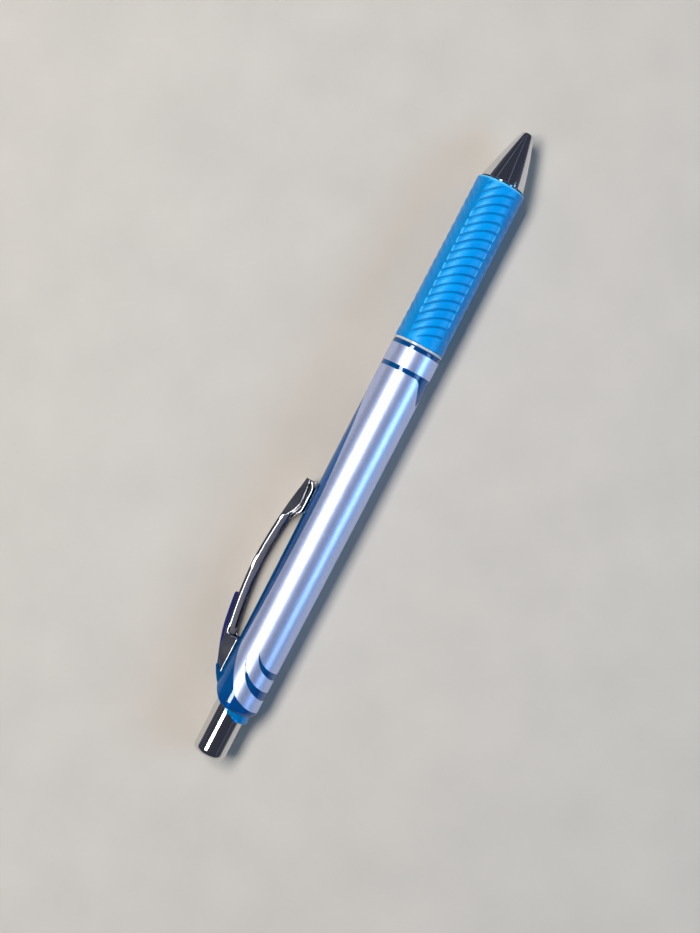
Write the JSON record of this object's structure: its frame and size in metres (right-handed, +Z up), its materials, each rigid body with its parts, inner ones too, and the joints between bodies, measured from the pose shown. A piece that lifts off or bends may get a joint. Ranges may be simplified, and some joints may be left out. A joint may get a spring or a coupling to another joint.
{
  "type": "retractable gel pen",
  "caption": "Slim push-button gel pen with a chrome nose cone, ribbed soft grip, tinted barrel in silver film, and a sprung pocket clip.",
  "frame": {"origin": "centre of the bounding box's bottom face: the pen lies on its grip and on the clip's lower edge", "axes": "+X along the pen towards the point, +Z up, and the clip points to +Y and a little down"},
  "size_m": [0.144, 0.0158, 0.011],
  "materials": {
    "nose_chrome": "polished chrome plate",
    "grip_rubber": "translucent satin rubber with moulded ribs",
    "ring_pale": "glossy pale plastic",
    "barrel_blue": "clear tinted glossy plastic",
    "silver_film": "satin metallised film",
    "clip_chrome": "polished chrome plate",
    "cover_blue": "clear tinted glossy plastic",
    "collar_blue": "clear tinted glossy plastic",
    "mechanism_plastic": "plain moulded",
    "button_chrome": "polished chrome plate",
    "ball_carbide": "ground",
    "tip_steel": "turned",
    "holder_plastic": "plain moulded",
    "refill_clear": "clear extruded",
    "ink_blue": "wet gel",
    "follower_gel": "clear grease",
    "spring_steel": "drawn wire"
  },
  "bodies": {
    "barrel": {"main_barrel": "barrel_blue", "grip_sleeve": "grip_rubber", "grip_ring": "ring_pale", "band_foil": "silver_film", "barrel_foil": "silver_film", "guide_sleeve": "collar_blue", "return_spring": "spring_steel"},
    "nose": {"nose_cone": "nose_chrome"},
    "clip": {"pocket_clip": "clip_chrome", "clip_cover": "cover_blue"},
    "knock": {"knock_button": "button_chrome", "thrust_tube": "mechanism_plastic"},
    "cam": {"rotary_cam": "mechanism_plastic"},
    "refill": {"writing_ball": "ball_carbide", "refill_tip": "tip_steel", "tip_holder": "holder_plastic", "refill_tube": "refill_clear", "gel_ink": "ink_blue", "ink_follower": "follower_gel", "refill_tail_plug": "mechanism_plastic"}
  },
  "joints": [
    {"name": "knock_slide", "type": "slide", "parent": "barrel", "child": "knock", "axis": [1, 0, 0], "range_m": [0, 0.006], "stiffness_N_per_m": 400},
    {"name": "refill_slide", "type": "slide", "parent": "barrel", "child": "refill", "axis": [1, 0, 0], "range_m": [0, 0.006], "deforming": ["return_spring"]},
    {"name": "cam_turn", "type": "hinge", "parent": "knock", "child": "cam", "pos_m": [-0.038, -0.00244, 0.0055], "axis": [1, 0, 0], "range_deg": [0, 45]},
    {"name": "clip_flex", "type": "hinge", "parent": "barrel", "child": "clip", "pos_m": [-0.0518, 0.00311, 0.00364], "axis": [0, 0.3173, 0.9483], "range_deg": [0, 5], "stiffness_Nm_per_rad": 2},
    {"name": "nose_unscrew", "type": "slide", "parent": "barrel", "child": "nose", "axis": [1, 0, 0], "range_m": [0, 0.025]}
  ],
  "couplings": [
    {"joint": "refill_slide", "follows": "knock_slide", "ratio": 1},
    {"joint": "cam_turn", "follows": "knock_slide", "rad_per_m": 130.8}
  ]
}
